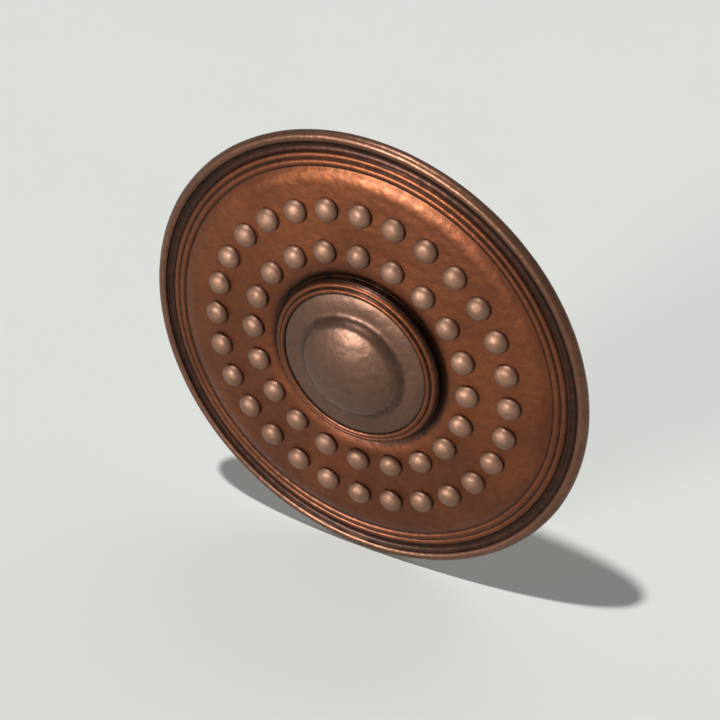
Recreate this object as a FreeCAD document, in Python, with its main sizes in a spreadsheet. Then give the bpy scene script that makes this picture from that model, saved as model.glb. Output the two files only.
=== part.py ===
import FreeCAD, Part
import os
import re
import Sketcher

# A round bronze-faced shield, built round a board of wooden planks.
# The shield stands upright: its axis is Y, its front faces -Y, and +Z is up.
# The origin is on the axis, at the middle of the hand grip.
# A height is measured towards the front, along -Y, from the middle plane of the rim roll.

SIZES = {
    # rim roll
    "roll_radius": 7.5,
    "roll_wall": 1.0,
    "lip_height": 4.6,
    "wire_room": 2.1,
    "wire_gap": 0.3,
    "edge_gap": 0.4,
    # front face of the bronze plate: each station lies one band further out than the one before it
    "plate_wall": 1.0,
    "lip_gap": 0.1,
    "collar_mouth_gap": 0.8,
    "collar_groove_c_band": 0.7,
    "collar_bead_b_band": 3.3,
    "collar_groove_b_band": 3.2,
    "collar_bead_a_band": 3.3,
    "collar_edge_band": 3.1,
    "collar_wall_band": 2.0,
    "moat_band": 0.6,
    "moat_side_band": 10.0,
    "crest_band": 16.0,
    "inner_seat_band": 25.0,
    "valley_band": 22.0,
    "outer_seat_band": 35.0,
    "slope_start_band": 12.0,
    "slope_middle_band": 13.5,
    "slope_foot_band": 7.9,
    "rim_groove_c_band": 1.6,
    "rim_bead_b_band": 4.7,
    "rim_groove_b_band": 4.7,
    "rim_bead_a_band": 4.2,
    "rim_groove_a_band": 4.2,
    "channel_band": 5.8,
    "channel_outer_band": 5.8,
    "edge_band": 3.1,
    # heights of the same stations, each from its neighbour nearer the rim, and up is towards the front
    "channel_drop": 2.6,
    "rim_groove_a_rise": 2.9,
    "rim_bead_a_rise": 2.8,
    "rim_groove_b_drop": 1.4,
    "rim_bead_b_rise": 2.8,
    "rim_groove_c_drop": 1.6,
    "slope_foot_rise": 0.5,
    "slope_middle_rise": 3.3,
    "slope_start_rise": 2.3,
    "outer_seat_rise": 1.0,
    "valley_rise": 2.4,
    "inner_seat_rise": 1.2,
    "crest_rise": 1.6,
    "moat_side_drop": 1.2,
    "moat_drop": 3.3,
    "collar_wall_rise": 8.7,
    "collar_edge_rise": 2.4,
    "collar_bead_a_rise": 3.1,
    "collar_groove_b_drop": 0.8,
    "collar_bead_b_rise": 3.6,
    "collar_groove_c_drop": 1.0,
    "collar_inset_share": 0.5,
    # boss, from its edge inwards
    "boss_wall": 1.2,
    "boss_radius": 97.0,
    "flange_inset": 0.9,
    "flange_edge_drop": 1.3,
    "flange_root_drop": 1.4,
    "boss_edge_drop": 0.8,
    "shoulder_side_band": 7.8,
    "shoulder_side_rise": 2.1,
    "shoulder_band": 8.2,
    "shoulder_rise": 1.3,
    "shelf_band": 6.5,
    "shelf_rise": 0.6,
    "dome_fillet_band": 4.6,
    "dome_fillet_rise": 1.4,
    "dome_foot_band": 3.4,
    "dome_foot_rise": 3.3,
    "dome_side_band": 2.0,
    "dome_side_rise": 3.0,
    "dome_round_band": 2.8,
    "dome_round_rise": 3.0,
    "dome_crown_band": 3.7,
    "dome_crown_rise": 2.0,
    "dome_rise": 9.8,
    "crown_share": 0.7,
    "crown_rise_share": 0.516,
    "crown_inset_share": 0.33,
    "round_inset_share": 0.62,
    "round_drop_share": 0.78,
    "side_inset_share": 0.85,
    "side_drop_share": 0.53,
    "fillet_inset_share": 0.51,
    "fillet_drop_share": 0.86,
    "shelf_inset_share": 0.09,
    "shoulder_inset_share": 0.2,
    # wooden board
    "bed_gap": 0.3,
    "board_thickness": 9.2,
    "hand_inset": 9.0,
    "board_edge_thickness": 6.1,
    "rebate_inset": 4.5,
    "rebate_slope": 2.0,
    "rebate_depth": 1.3,
    "back_flat_band": 9.0,
    "middle_plank_half": 67.0,
    "side_plank_width": 104.5,
    "joint_gap": 0.1,
    "dowel_radius": 2.0,
    "dowel_length": 24.0,
    "dowel_gap": 0.1,
    # ring under the boss flange
    "seat_gap": 0.15,
    "seat_side_gap": 1.2,
    "seat_top_band": 2.3,
    # leather lining
    "lining_gap": 0.1,
    "lining_thickness": 1.5,
    "lining_overhang": 1.0,
    # domed studs and their roves
    "outer_row_inset": 18.4,
    "outer_row_count": 28,
    "inner_row_inset": 16.0,
    "inner_row_count": 20,
    "head_radius": 15.7,
    "head_height": 10.6,
    "head_share": 0.7071,
    "head_rise_share": 0.745,
    "cap_share": 0.72,
    "flat_share": 0.06,
    "head_gap": 0.15,
    "shank_radius": 3.0,
    "hole_gap": 0.25,
    "rove_radius": 9.0,
    "rove_thickness": 1.3,
    "rove_edge_share": 0.6,
    "rove_top_share": 0.8,
    "rove_gap": 0.1,
    "clench_radius": 5.0,
    "clench_height": 1.8,
    # hand grip, set out from the edge of the hand opening
    "grip_depth": 14.0,
    "grip_bed_gap": 0.1,
    "grip_handle_half": 14.0,
    "grip_handle_inset": 26.0,
    "grip_flare_inset": 4.0,
    "grip_flare_length": 24.0,
    "grip_paddle_half": 22.0,
    "grip_flare_share": 0.35,
    "grip_corner_share": 0.45,
    "grip_landing": 45.0,
    "grip_end_thickness": 7.5,
    "grip_taper_inset": 16.0,
    "grip_taper_length": 28.0,
    "grip_round": 5.0,
    "spine_thickness": 1.5,
    "spine_half": 6.5,
    "spine_side_inset": 3.5,
    "spine_end_inset": 4.0,
    "sleeve_end_inset": 4.0,
    "sleeve_thickness": 1.8,
    "sleeve_gap": 0.15,
    "rivet_end_inset": 15.0,
    "rivet_rise": 11.0,
    "rivet_radius": 2.5,
    "rivet_head_radius": 5.5,
    "rivet_head_height": 1.5,
    "rivet_sink_gap": 0.2,
    "rivet_peen_radius": 4.4,
    "rivet_peen_height": 2.0,
    # carrying-strap rings, their folded loops and nails
    "loop_inset": 19.24,
    "loop_angle": 38.913,
    "strap_ring_radius": 17.0,
    "strap_wire_radius": 2.2,
    "loop_width": 8.0,
    "loop_wall": 1.2,
    "loop_bend_share": 0.7071,
    "loop_play": 0.2,
    "loop_leg_length": 25.0,
    "loop_bed_gap": 0.2,
    "nail_near": 9.5,
    "nail_spacing": 10.0,
    "nail_radius": 1.1,
    "nail_head_radius": 2.5,
    "nail_head_height": 1.1,
    "nail_length": 7.6,
    "nail_gap": 0.1,
    # cuts run past what they cut by this much
    "overrun": 30.0,
}

# Stations of the plate from the boss out to its edge, and their heights from the edge back in.
OUTWARD = [
    "collar_groove_c", "collar_bead_b", "collar_groove_b", "collar_bead_a", "collar_edge", "collar_wall",
    "moat", "moat_side", "crest", "inner_seat", "valley", "outer_seat", "slope_start", "slope_middle",
    "slope_foot", "rim_groove_c", "rim_bead_b", "rim_groove_b", "rim_bead_a", "rim_groove_a",
    "channel", "channel_outer", "edge",
]
INWARD = OUTWARD[OUTWARD.index("channel")::-1]
BOSS_INWARD = [
    "shoulder_side", "shoulder", "shelf", "dome_fillet", "dome_foot", "dome_side", "dome_round", "dome_crown",
]


def running_sizes():
    """Radii and heights that are running sums of the bands, rises and drops."""
    sums = {"collar_mouth_radius": "boss_radius + collar_mouth_gap"}
    radius = sums["collar_mouth_radius"]
    for station in OUTWARD:
        radius += f" + {station}_band"
        sums[station + "_radius"] = radius
    height = sums["edge_height"] = "lip_height - lip_gap"
    for station in INWARD:
        height += f" + {station}_rise" if station + "_rise" in SIZES else f" - {station}_drop"
        sums[station + "_height"] = height
    radius = "boss_radius"
    height += " - boss_edge_drop"
    sums["boss_edge_height"] = height
    for station in BOSS_INWARD:
        radius += f" - {station}_band"
        height += f" + {station}_rise"
        sums[station + "_radius"] = radius
        sums[station + "_height"] = height
    sums["dome_height"] = height + " + dome_rise"
    return {name: f"({total})" for name, total in sums.items()}


doc = FreeCAD.newDocument("Shield")
sheet = doc.addObject("Spreadsheet::Sheet", "Sizes")
for row, (name, value) in enumerate(SIZES.items(), start=1):
    sheet.set(f"A{row}", name)
    sheet.set(f"B{row}", str(value))
    sheet.setAlias(f"B{row}", name)
doc.recompute()

# How far the middle of a quarter turn lies from its corner, as a share of its radius.
ARC_SHARE = "(1 - sqrt(0.5))"

# Sizes that follow from the driving ones, each written once. A line may use the lines above it.
DERIVED = {
    **running_sizes(),
    "wire_radius": "(roll_radius - roll_wall - wire_room)",
    "wire_middle": "(edge_radius + edge_gap + wire_radius)",
    "outer_radius": "(wire_middle + wire_radius + wire_gap + roll_wall)",
    "roll_middle": "(outer_radius - roll_radius)",
    "bed_drop": "(plate_wall + bed_gap)",
    "board_drop": "(bed_drop + board_thickness)",
    "board_back_height": "(crest_height - board_drop)",
    "board_edge_height": "(edge_height - bed_drop - board_edge_thickness)",
    "rebate_height": "(board_edge_height - rebate_depth)",
    "rebate_radius": "(edge_radius - rebate_inset)",
    "back_flat_radius": "(rim_groove_c_radius + back_flat_band)",
    "outer_joint": "(middle_plank_half + side_plank_width)",
    "hand_radius": "(boss_radius - hand_inset)",
    "seat_top_radius": "(collar_mouth_radius + seat_top_band)",
    "seat_outer_radius": "(collar_wall_radius - plate_wall - seat_side_gap)",
    "boss_flange_radius": "(collar_edge_radius - flange_inset)",
    "lining_back_height": "(board_back_height - lining_gap - lining_thickness)",
    "grip_front_height": "(lining_back_height - grip_bed_gap)",
    "grip_middle_height": "(grip_front_height - grip_depth / 2)",
    "grip_half_length": "(hand_radius + grip_landing)",
    "grip_handle_length": "(hand_radius - grip_handle_inset)",
    "grip_flare_start": "(hand_radius - grip_flare_inset)",
    "grip_flare_end": "(grip_flare_start + grip_flare_length)",
    "grip_taper_start": "(hand_radius - grip_taper_inset)",
    "grip_taper_end": "(grip_taper_start + grip_taper_length)",
    "spine_paddle_half": "(grip_paddle_half - spine_side_inset)",
    "sleeve_half_length": "(grip_handle_length - sleeve_end_inset)",
    "rivet_spread": "(grip_half_length - rivet_end_inset)",
    "flange_root_height": "(collar_groove_c_height - flange_root_drop)",
    "flange_edge_height": "(collar_edge_height - flange_edge_drop)",
    "outer_seat_slope": "(valley_rise / outer_seat_band)",
    "inner_seat_slope": "(crest_rise / inner_seat_band)",
    "outer_row_radius": "(outer_seat_radius - outer_row_inset)",
    "inner_row_radius": "(inner_seat_radius - inner_row_inset)",
    "stack": "(board_drop + lining_gap + lining_thickness)",
    "rove_seat": "(stack + rove_gap)",
    "clench_seat": "(rove_seat + rove_thickness + rove_gap / 2)",
    "loop_drop": "(strap_ring_radius - sqrt(strap_ring_radius ^ 2 - (loop_width / 2) ^ 2))",
    "loop_bore": "(strap_wire_radius + loop_drop / 2 + loop_play)",
    "loop_outer": "(loop_bore + loop_wall)",
    "loop_reach": "(back_flat_radius - loop_inset)",
    "loop_spread": "(loop_reach * cos(loop_angle))",
    "loop_rise": "(loop_reach * sin(loop_angle))",
    "loop_slope": "((outer_seat_height - board_drop - rebate_height)"
    " / (back_flat_radius - outer_seat_radius))",
    "loop_lean": "(loop_slope * loop_spread / loop_reach)",
    "loop_dip": "(loop_slope * loop_rise / loop_reach * cos(atan(loop_lean)))",
    "loop_depth": "(stack + loop_bed_gap + loop_slope * (loop_reach - outer_seat_radius))",
    "nail_far": "(nail_near + nail_spacing)",
    "ARC_SHARE": ARC_SHARE,
}


def swap_words(text, lines):
    """Writes out each word that has a line of its own."""
    return re.sub(r"[A-Za-z_]+", lambda word: lines.get(word.group(0), word.group(0)), text)


CELLS = {name: "Sizes." + name for name in SIZES}
SPELLED = dict(CELLS)
for name, line in DERIVED.items():
    SPELLED[name] = swap_words(line, SPELLED)


def spell(text):
    """Writes a size in words as an expression over the sheet's cells."""
    return swap_words(str(text), SPELLED)


def number(text):
    """The value of a size in words."""
    return float(sheet.evalExpression(spell(text)))


def back(height):
    """The place along Y of a height in front of the rim's middle plane."""
    return f"(grip_middle_height - ({height}))"


def plane(body, role):
    return [o for o in body.Origin.OriginFeatures if o.Role == role][0]


def new_body(name):
    body = doc.addObject("PartDesign::Body", name)
    body.Label = name
    body.AllowCompound = True
    return body


def pins(geometry, end, x, y):
    """Two constraints that hold an end of a line or arc, or a point, and the sizes they follow."""
    return [(Sketcher.Constraint(kind, -1, 1, geometry, end, number(size)), size)
            for kind, size in (("DistanceX", x), ("DistanceY", y))]


def constrain(sketch, wanted):
    """Adds constraints, each with the size that it follows or None."""
    first = len(sketch.Constraints)
    sketch.addConstraint([constraint for constraint, _ in wanted])
    for i, (_, size) in enumerate(wanted):
        if size is not None:
            sketch.setExpression(f"Constraints[{first + i}]", spell(size))


def sketch_on(body, role, name, offset=None):
    sketch = body.newObject("Sketcher::SketchObject", name)
    sketch.AttachmentSupport = [(plane(body, role), "")]
    sketch.MapMode = "FlatFace"
    for path, size in (offset or {}).items():
        sketch.setExpression("AttachmentOffset." + path, spell(size))
    return sketch


def end_at(sketch, geometry, point):
    """The number of the end of a line or arc that lies at a point."""
    drawn = sketch.Geometry[geometry]
    return 1 if (drawn.StartPoint - point).Length < (drawn.EndPoint - point).Length else 2


def arc_through(start, via, stop):
    """An arc that runs anticlockwise, as a sketch keeps it."""
    left = (via - start).cross(stop - via).z > 0
    return Part.Arc(start, via, stop) if left else Part.Arc(stop, via, start)


def outline(sketch, steps):
    """Draws one closed outline. A step is a point, or a point on an arc and the arc's end."""
    ends = [step[-2:] for step in steps]
    points = [FreeCAD.Vector(number(x), number(y), 0) for x, y in ends]
    drawn, starts, stops, wanted = [], [], [], []
    for i, step in enumerate(steps):
        start, stop = points[i - 1], points[i]
        if len(step) == 4:
            via = FreeCAD.Vector(number(step[0]), number(step[1]), 0)
            drawn.append(sketch.addGeometry(arc_through(start, via, stop)))
            mark = sketch.addGeometry(Part.Point(via), True)
            wanted.append((Sketcher.Constraint("PointOnObject", mark, 1, drawn[-1]), None))
            wanted += pins(mark, 1, *step[:2])
        else:
            drawn.append(sketch.addGeometry(Part.LineSegment(start, stop)))
        starts.append(end_at(sketch, drawn[-1], start))
        stops.append(end_at(sketch, drawn[-1], stop))
    for i, here in enumerate(drawn):
        following = (i + 1) % len(drawn)
        joint = Sketcher.Constraint("Coincident", here, stops[i], drawn[following], starts[following])
        wanted.append((joint, None))
        wanted += pins(here, stops[i], *ends[i])
    constrain(sketch, wanted)


def circle(sketch, x, y, radius):
    middle = FreeCAD.Vector(number(x), number(y), 0)
    ring = sketch.addGeometry(Part.Circle(middle, FreeCAD.Vector(0, 0, 1), number(radius)))
    constrain(sketch, pins(ring, 3, x, y) + [(Sketcher.Constraint("Radius", ring, number(radius)), radius)])


def turned(name, steps, role="XY_Plane", offset=None, feature="PartDesign::Revolution"):
    """A body turned about its sketch's upright axis."""
    body = new_body(name)
    turn(body, steps, role, offset, feature)
    return body


def turn(body, steps, role="XY_Plane", offset=None, feature="PartDesign::Revolution"):
    sketch = sketch_on(body, role, body.Name + "_section", offset)
    outline(sketch, steps)
    solid = body.newObject(feature, body.Name + "_turned")
    solid.Profile = sketch
    solid.ReferenceAxis = (sketch, ["V_Axis"])
    solid.Angle = 360
    body.Tip = solid
    return solid


def around(body, feature, count):
    """Repeats a feature round the shield's axis."""
    pattern = body.newObject("PartDesign::PolarPattern", body.Name + "_ring")
    pattern.Originals = [feature]
    axis = [o for o in body.Origin.OriginFeatures if o.Role == "Y_Axis"][0]
    pattern.Axis = (axis, [""])
    pattern.Angle = 360
    pattern.setExpression("Occurrences", spell(count))
    body.Tip = pattern
    return body


def pad(body, steps, role, length, name):
    sketch = sketch_on(body, role, body.Name + "_" + name)
    outline(sketch, steps)
    solid = body.newObject("PartDesign::Pad", body.Name + "_" + name + "_pad")
    solid.Profile = sketch
    solid.Midplane = True
    solid.setExpression("Length", spell(length))
    body.Tip = solid
    return solid


def big_square():
    """An outline that lies well outside every piece."""
    reach = "(outer_radius + overrun)"
    return [(f"-{reach}", f"-{reach}"), (reach, f"-{reach}"), (reach, reach), (f"-{reach}", reach)]


def trim(body, steps, role, name):
    """Cuts away everything outside an outline, right through the body."""
    sketch = sketch_on(body, role, body.Name + "_" + name)
    outline(sketch, steps)
    outline(sketch, big_square())
    cut = body.newObject("PartDesign::Pocket", body.Name + "_" + name + "_cut")
    cut.Profile = sketch
    cut.Type = "ThroughAll"
    cut.Midplane = True
    body.Tip = cut
    return cut


def rod(name, radius, length, base, axis, turn_degrees):
    """A plain cylinder. Its base is three sizes, and it is turned from Z about the axis."""
    solid = doc.addObject("Part::Cylinder", name)
    solid.setExpression("Radius", spell(radius))
    solid.setExpression("Height", spell(length))
    solid.Placement = FreeCAD.Placement(FreeCAD.Vector(0, 0, 0), FreeCAD.Rotation(axis, turn_degrees))
    for letter, size in zip("xyz", base):
        solid.setExpression("Placement.Base." + letter, spell(size))
    return solid


def group(name, members):
    compound = doc.addObject("Part::Compound", name)
    compound.Links = members
    compound.Label = name
    return compound


def cut(name, base, tool):
    result = doc.addObject("Part::Cut", name)
    result.Base = base
    result.Tool = tool
    result.Label = name
    return result


def section(points):
    """Turns (radius, height) steps into sketch steps, where Y runs to the back."""
    steps = []
    for step in points:
        pairs = [(step[i], back(step[i + 1])) for i in range(0, len(step), 2)]
        steps.append(tuple(size for pair in pairs for size in pair))
    return steps


def below(points, drop):
    """The same stations, lower by a drop."""
    return [tuple(s if i % 2 == 0 else f"{s} - {drop}" for i, s in enumerate(step)) for step in points]


def reverse(start, points):
    """The same line walked the other way, ready to close a section."""
    ends = [start] + [step[-2:] for step in points]
    walked = [ends[-1]]
    for i in range(len(points), 0, -1):
        step = points[i - 1]
        walked.append(step[:2] + ends[i - 1] if len(step) == 4 else ends[i - 1])
    return walked


# The plate's front, from the mouth of the collar out to the edge under the rim roll.
PLATE_START = ("collar_mouth_radius", "collar_groove_c_height")
COLLAR_FRONT = [
    ("collar_groove_c_radius", "collar_groove_c_height"),
    ("collar_bead_b_radius", "collar_bead_b_height", "collar_groove_b_radius", "collar_groove_b_height"),
    ("collar_bead_a_radius", "collar_bead_a_height", "collar_edge_radius", "collar_edge_height"),
    ("collar_wall_radius", "collar_wall_height"),
    ("moat_radius", "moat_height"),
]
FIELD_FRONT = [
    ("moat_side_radius", "moat_side_height", "crest_radius", "crest_height"),
    ("inner_seat_radius", "inner_seat_height"),
    ("valley_radius", "valley_height"),
    ("outer_seat_radius", "outer_seat_height"),
    ("slope_start_radius", "slope_start_height"),
    ("slope_middle_radius", "slope_middle_height", "slope_foot_radius", "slope_foot_height"),
]
BEADS_FRONT = [
    ("rim_groove_c_radius", "rim_groove_c_height"),
    ("rim_bead_b_radius", "rim_bead_b_height", "rim_groove_b_radius", "rim_groove_b_height"),
    ("rim_bead_a_radius", "rim_bead_a_height", "rim_groove_a_radius", "rim_groove_a_height"),
    ("channel_radius", "channel_height", "channel_outer_radius", "edge_height"),
    ("edge_radius", "edge_height"),
]


def plate_section():
    """A sheet of even wall. Behind the collar's edge and upright wall its back is also moved sideways."""
    collar_back = below(COLLAR_FRONT[:2], "plate_wall") + [
        ("collar_bead_a_radius", "collar_bead_a_height - plate_wall",
         "collar_edge_radius - collar_inset_share * plate_wall", "collar_edge_height - plate_wall"),
        ("collar_wall_radius - plate_wall", "collar_wall_height - plate_wall"),
        ("moat_radius - plate_wall", "moat_height - plate_wall"),
    ]
    rear = collar_back + below(FIELD_FRONT + BEADS_FRONT, "plate_wall")
    rear_start = ("collar_mouth_radius", "collar_groove_c_height - plate_wall")
    front = [PLATE_START] + COLLAR_FRONT + FIELD_FRONT + BEADS_FRONT
    return section(front + reverse(rear_start, rear))


def boss_section():
    """The boss from its flange edge to the crown on the axis, and back along its hollow side."""
    crown = "dome_crown_height + crown_rise_share * (dome_height - dome_crown_height)"
    inside = [
        ("0", "dome_height - boss_wall"),
        ("crown_share * dome_crown_radius", f"{crown} - boss_wall",
         "dome_crown_radius - crown_inset_share * boss_wall", "dome_crown_height - boss_wall"),
        ("dome_round_radius - round_inset_share * boss_wall",
         "dome_round_height - round_drop_share * boss_wall",
         "dome_side_radius - side_inset_share * boss_wall", "dome_side_height - side_drop_share * boss_wall"),
        ("dome_foot_radius - side_inset_share * boss_wall", "dome_foot_height - side_drop_share * boss_wall"),
        ("dome_fillet_radius - fillet_inset_share * boss_wall",
         "dome_fillet_height - fillet_drop_share * boss_wall",
         "shelf_radius - shelf_inset_share * boss_wall", "shelf_height - boss_wall"),
        ("shoulder_radius", "shoulder_height - boss_wall"),
        ("shoulder_side_radius - shoulder_inset_share * boss_wall", "shoulder_side_height - boss_wall",
         "boss_radius", "boss_edge_height - boss_wall"),
        ("boss_flange_radius", "flange_edge_height - boss_wall"),
    ]
    outside = [
        ("boss_flange_radius", "flange_edge_height"),
        ("collar_mouth_radius", "flange_root_height"),
        ("boss_radius", "boss_edge_height"),
        ("shoulder_side_radius", "shoulder_side_height", "shoulder_radius", "shoulder_height"),
        ("shelf_radius", "shelf_height"),
        ("dome_fillet_radius", "dome_fillet_height", "dome_foot_radius", "dome_foot_height"),
        ("dome_side_radius", "dome_side_height"),
        ("dome_round_radius", "dome_round_height", "dome_crown_radius", "dome_crown_height"),
        ("crown_share * dome_crown_radius", crown, "0", "dome_height"),
    ]
    return section(outside + inside)


FIELD_BACK = [
    ("inner_seat_radius", "inner_seat_height - board_drop"),
    ("valley_radius", "valley_height - board_drop"),
    ("outer_seat_radius", "outer_seat_height - board_drop"),
    ("back_flat_radius", "rebate_height"),
    ("rebate_radius - rebate_slope", "rebate_height"),
    ("rebate_radius", "board_edge_height"),
    ("edge_radius", "board_edge_height"),
]


def board_section():
    """The planks' section: bedded behind the plate, even in the field, thinned at the rim."""
    front = [
        ("hand_radius", "moat_height - bed_drop"),
        ("moat_radius", "moat_height - bed_drop"),
    ]
    front += below(FIELD_FRONT, "bed_drop")
    front += [
        ("rim_groove_c_radius", "rim_groove_c_height - bed_drop"),
        ("rim_groove_a_radius", "rim_groove_a_height - bed_drop"),
        ("channel_radius", "channel_height - bed_drop", "channel_outer_radius", "edge_height - bed_drop"),
        ("edge_radius", "edge_height - bed_drop"),
    ]
    start = ("hand_radius", "board_back_height")
    rear = [("crest_radius", "board_back_height")] + FIELD_BACK
    return section(front + reverse(start, rear))


def lining_section():
    start = ("hand_radius - lining_overhang", "board_back_height")
    line = [("crest_radius", "board_back_height")] + FIELD_BACK
    near_start = (start[0], start[1] + " - lining_gap")
    far_start = (start[0], start[1] + " - lining_gap - lining_thickness")
    front = [near_start] + below(line, "lining_gap")
    return section(front + reverse(far_start, below(line, "(lining_gap + lining_thickness)")))


def seat_section():
    """The wooden ring that fills the space between the planks and the boss's flange."""
    bore = "(boss_radius - boss_wall)"
    slope = f"((flange_root_height - flange_edge_height) / (boss_flange_radius - {bore}))"
    root = "flange_root_height - boss_wall - seat_gap"
    top = f"({root} - {slope} * (seat_top_radius - {bore}))"
    edge = f"({root} - {slope} * (seat_outer_radius - {bore}))"
    return section([
        ("hand_radius", "moat_height - bed_drop"),
        ("hand_radius", top),
        ("seat_top_radius", top),
        ("seat_outer_radius", edge),
        ("seat_outer_radius", "moat_height - bed_drop"),
    ])


def rim_section():
    """A round roll, open towards the axis between its two lips."""
    outer_lip = "(roll_middle - sqrt(roll_radius ^ 2 - lip_height ^ 2))"
    inner_lip = "(roll_middle - sqrt((roll_radius - roll_wall) ^ 2 - lip_height ^ 2))"
    return section([
        (outer_lip, "-lip_height"),
        ("outer_radius", "0", outer_lip, "lip_height"),
        (inner_lip, "lip_height"),
        ("outer_radius - roll_wall", "0", inner_lip, "-lip_height"),
    ])


def ring_of_wire(name, middle, radius):
    body = new_body(name)
    sketch = sketch_on(body, "XY_Plane", name + "_section")
    circle(sketch, middle, back("0"), radius)
    solid = body.newObject("PartDesign::Revolution", name + "_turned")
    solid.Profile = sketch
    solid.ReferenceAxis = (sketch, ["V_Axis"])
    solid.Angle = 360
    return body


# Each row of studs stands square to the plate where it sits.
ROWS = {
    "outer": ("outer_row_radius", "outer_seat_slope", "outer_seat_radius", "outer_seat_height"),
    "inner": ("inner_row_radius", "inner_seat_slope", "inner_seat_radius", "inner_seat_height"),
}


def row_offset(row):
    """The place of a stud's foot on the plate, and the lean of its axis."""
    radius, slope, seat_radius, seat_height = ROWS[row]
    height = f"({seat_height} + {slope} * ({seat_radius} - {radius}))"
    return {"Base.x": radius, "Base.y": back(height), "Rotation.Angle": f"atan({slope})"}


def row_of(row, name, steps):
    body = new_body(name)
    solid = turn(body, steps, "XY_Plane", row_offset(row))
    return around(body, solid, row + "_row_count")


def stud_steps():
    """A flattened dome, its shank, and the end hammered over the rove."""
    return [
        ("0", "-head_height"),
        ("flat_share * head_radius", "-head_height"),
        ("head_share * head_radius", "-head_height * head_rise_share", "head_radius", "-head_gap"),
        ("shank_radius", "-head_gap"),
        ("shank_radius", "clench_seat"),
        ("clench_radius", "clench_seat"),
        ("cap_share * clench_radius", "clench_seat + cap_share * clench_height",
         "flat_share * clench_radius", "clench_seat + clench_height"),
        ("0", "clench_seat + clench_height"),
    ]


def rove_steps():
    bore = "(shank_radius + hole_gap)"
    return [
        (bore, "rove_seat"),
        ("rove_radius", "rove_seat"),
        ("rove_radius", "rove_seat + rove_edge_share * rove_thickness"),
        ("rove_top_share * rove_radius", "rove_seat + rove_thickness"),
        (bore, "rove_seat + rove_thickness"),
    ]


def hole_steps():
    bore = "(shank_radius + hole_gap)"
    return [("0", "-overrun / 2"), (bore, "-overrun / 2"), (bore, "overrun"), ("0", "overrun")]


def dowels(name, radius, length):
    """Two rows of pegs in the inner joints and one in the outer joints, on each side."""
    places = [
        ("middle_plank_half", "crest_radius", "crest_height"),
        ("middle_plank_half", "valley_radius", "valley_height"),
        ("middle_plank_half", "outer_seat_radius", "outer_seat_height"),
        ("outer_joint", "valley_radius", "valley_height"),
        ("outer_joint", "outer_seat_radius", "outer_seat_height"),
    ]
    pegs = []
    for joint, radius_at, height in places:
        middle = back(f"{height} - bed_drop - board_thickness / 2")
        for side in ("", "-"):
            for rise in ("", "-"):
                base = (f"{side}{joint} - {length} / 2", middle, f"{rise}sqrt({radius_at} ^ 2 - {joint} ^ 2)")
                peg = rod(f"{name}_{len(pegs)}", radius, length, base, FreeCAD.Vector(0, 1, 0), 90)
                pegs.append(peg)
    return group(name, pegs)


def grip_rivet_bodies(name, steps):
    """Four turned pieces through the ends of the grip, along Y."""
    pieces = []
    for side in ("", "-"):
        for rise in ("", "-"):
            body = turned(f"{name}_{len(pieces)}", steps)
            body.setExpression("Placement.Base.x", spell(f"{side}rivet_spread"))
            body.setExpression("Placement.Base.z", spell(f"{rise}rivet_rise"))
            pieces.append(body)
    return group(name, pieces)


def rivet_steps():
    head = back("moat_height - bed_drop - rivet_sink_gap")
    spine = f"({back('grip_front_height')} + grip_end_thickness + spine_thickness + rivet_sink_gap)"
    return [
        ("0", head),
        ("rivet_head_radius", head),
        ("rivet_head_radius", f"{head} + rivet_head_height"),
        ("rivet_radius", f"{head} + rivet_head_height"),
        ("rivet_radius", spine),
        ("rivet_peen_radius", spine),
        ("cap_share * rivet_peen_radius", f"{spine} + cap_share * rivet_peen_height",
         "flat_share * rivet_peen_radius", f"{spine} + rivet_peen_height"),
        ("0", f"{spine} + rivet_peen_height"),
    ]


def rivet_hole_steps():
    head = back("moat_height - bed_drop - rivet_sink_gap")
    seat = f"({head} + rivet_head_height + rivet_sink_gap)"
    bore = "(rivet_radius + hole_gap)"
    sink = "(rivet_head_radius + hole_gap)"
    mouth = back("crest_height + plate_wall")
    return [("0", mouth), (sink, mouth), (sink, seat), (bore, seat), (bore, "overrun"), ("0", "overrun")]


def grip_side(front, depth_middle, depth_end):
    """Half of the grip's long section, thick in the handle and thin at the paddles."""
    far = "(grip_half_length + overrun)"
    return [
        (f"-{far}", front),
        (far, front),
        (far, f"{front} + {depth_end}"),
        ("grip_taper_end", f"{front} + {depth_end}"),
        ("grip_taper_start", f"{front} + {depth_middle}"),
        ("-grip_taper_start", f"{front} + {depth_middle}"),
        ("-grip_taper_end", f"{front} + {depth_end}"),
        (f"-{far}", f"{front} + {depth_end}"),
    ]


def grip_outline(half, paddle, reach):
    """The grip seen from behind: a straight handle that flares into two rounded paddles."""
    middle = "(grip_flare_start / 2 + grip_flare_end / 2)"
    corner = f"({reach} - grip_corner_share * {paddle})"
    waist = f"({half} + grip_flare_share * ({paddle} - {half}))"
    return [
        ("grip_flare_start", f"-{half}"),
        (middle, f"-{waist}", "grip_flare_end", f"-{paddle}"),
        (corner, f"-{paddle}"),
        (reach, "0", corner, paddle),
        ("grip_flare_end", paddle),
        (middle, waist, "grip_flare_start", half),
        ("-grip_flare_start", half),
        (f"-{middle}", waist, "-grip_flare_end", paddle),
        (f"-{corner}", paddle),
        (f"-{reach}", "0", f"-{corner}", f"-{paddle}"),
        ("-grip_flare_end", f"-{paddle}"),
        (f"-{middle}", f"-{waist}", "-grip_flare_start", f"-{half}"),
    ]


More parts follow.
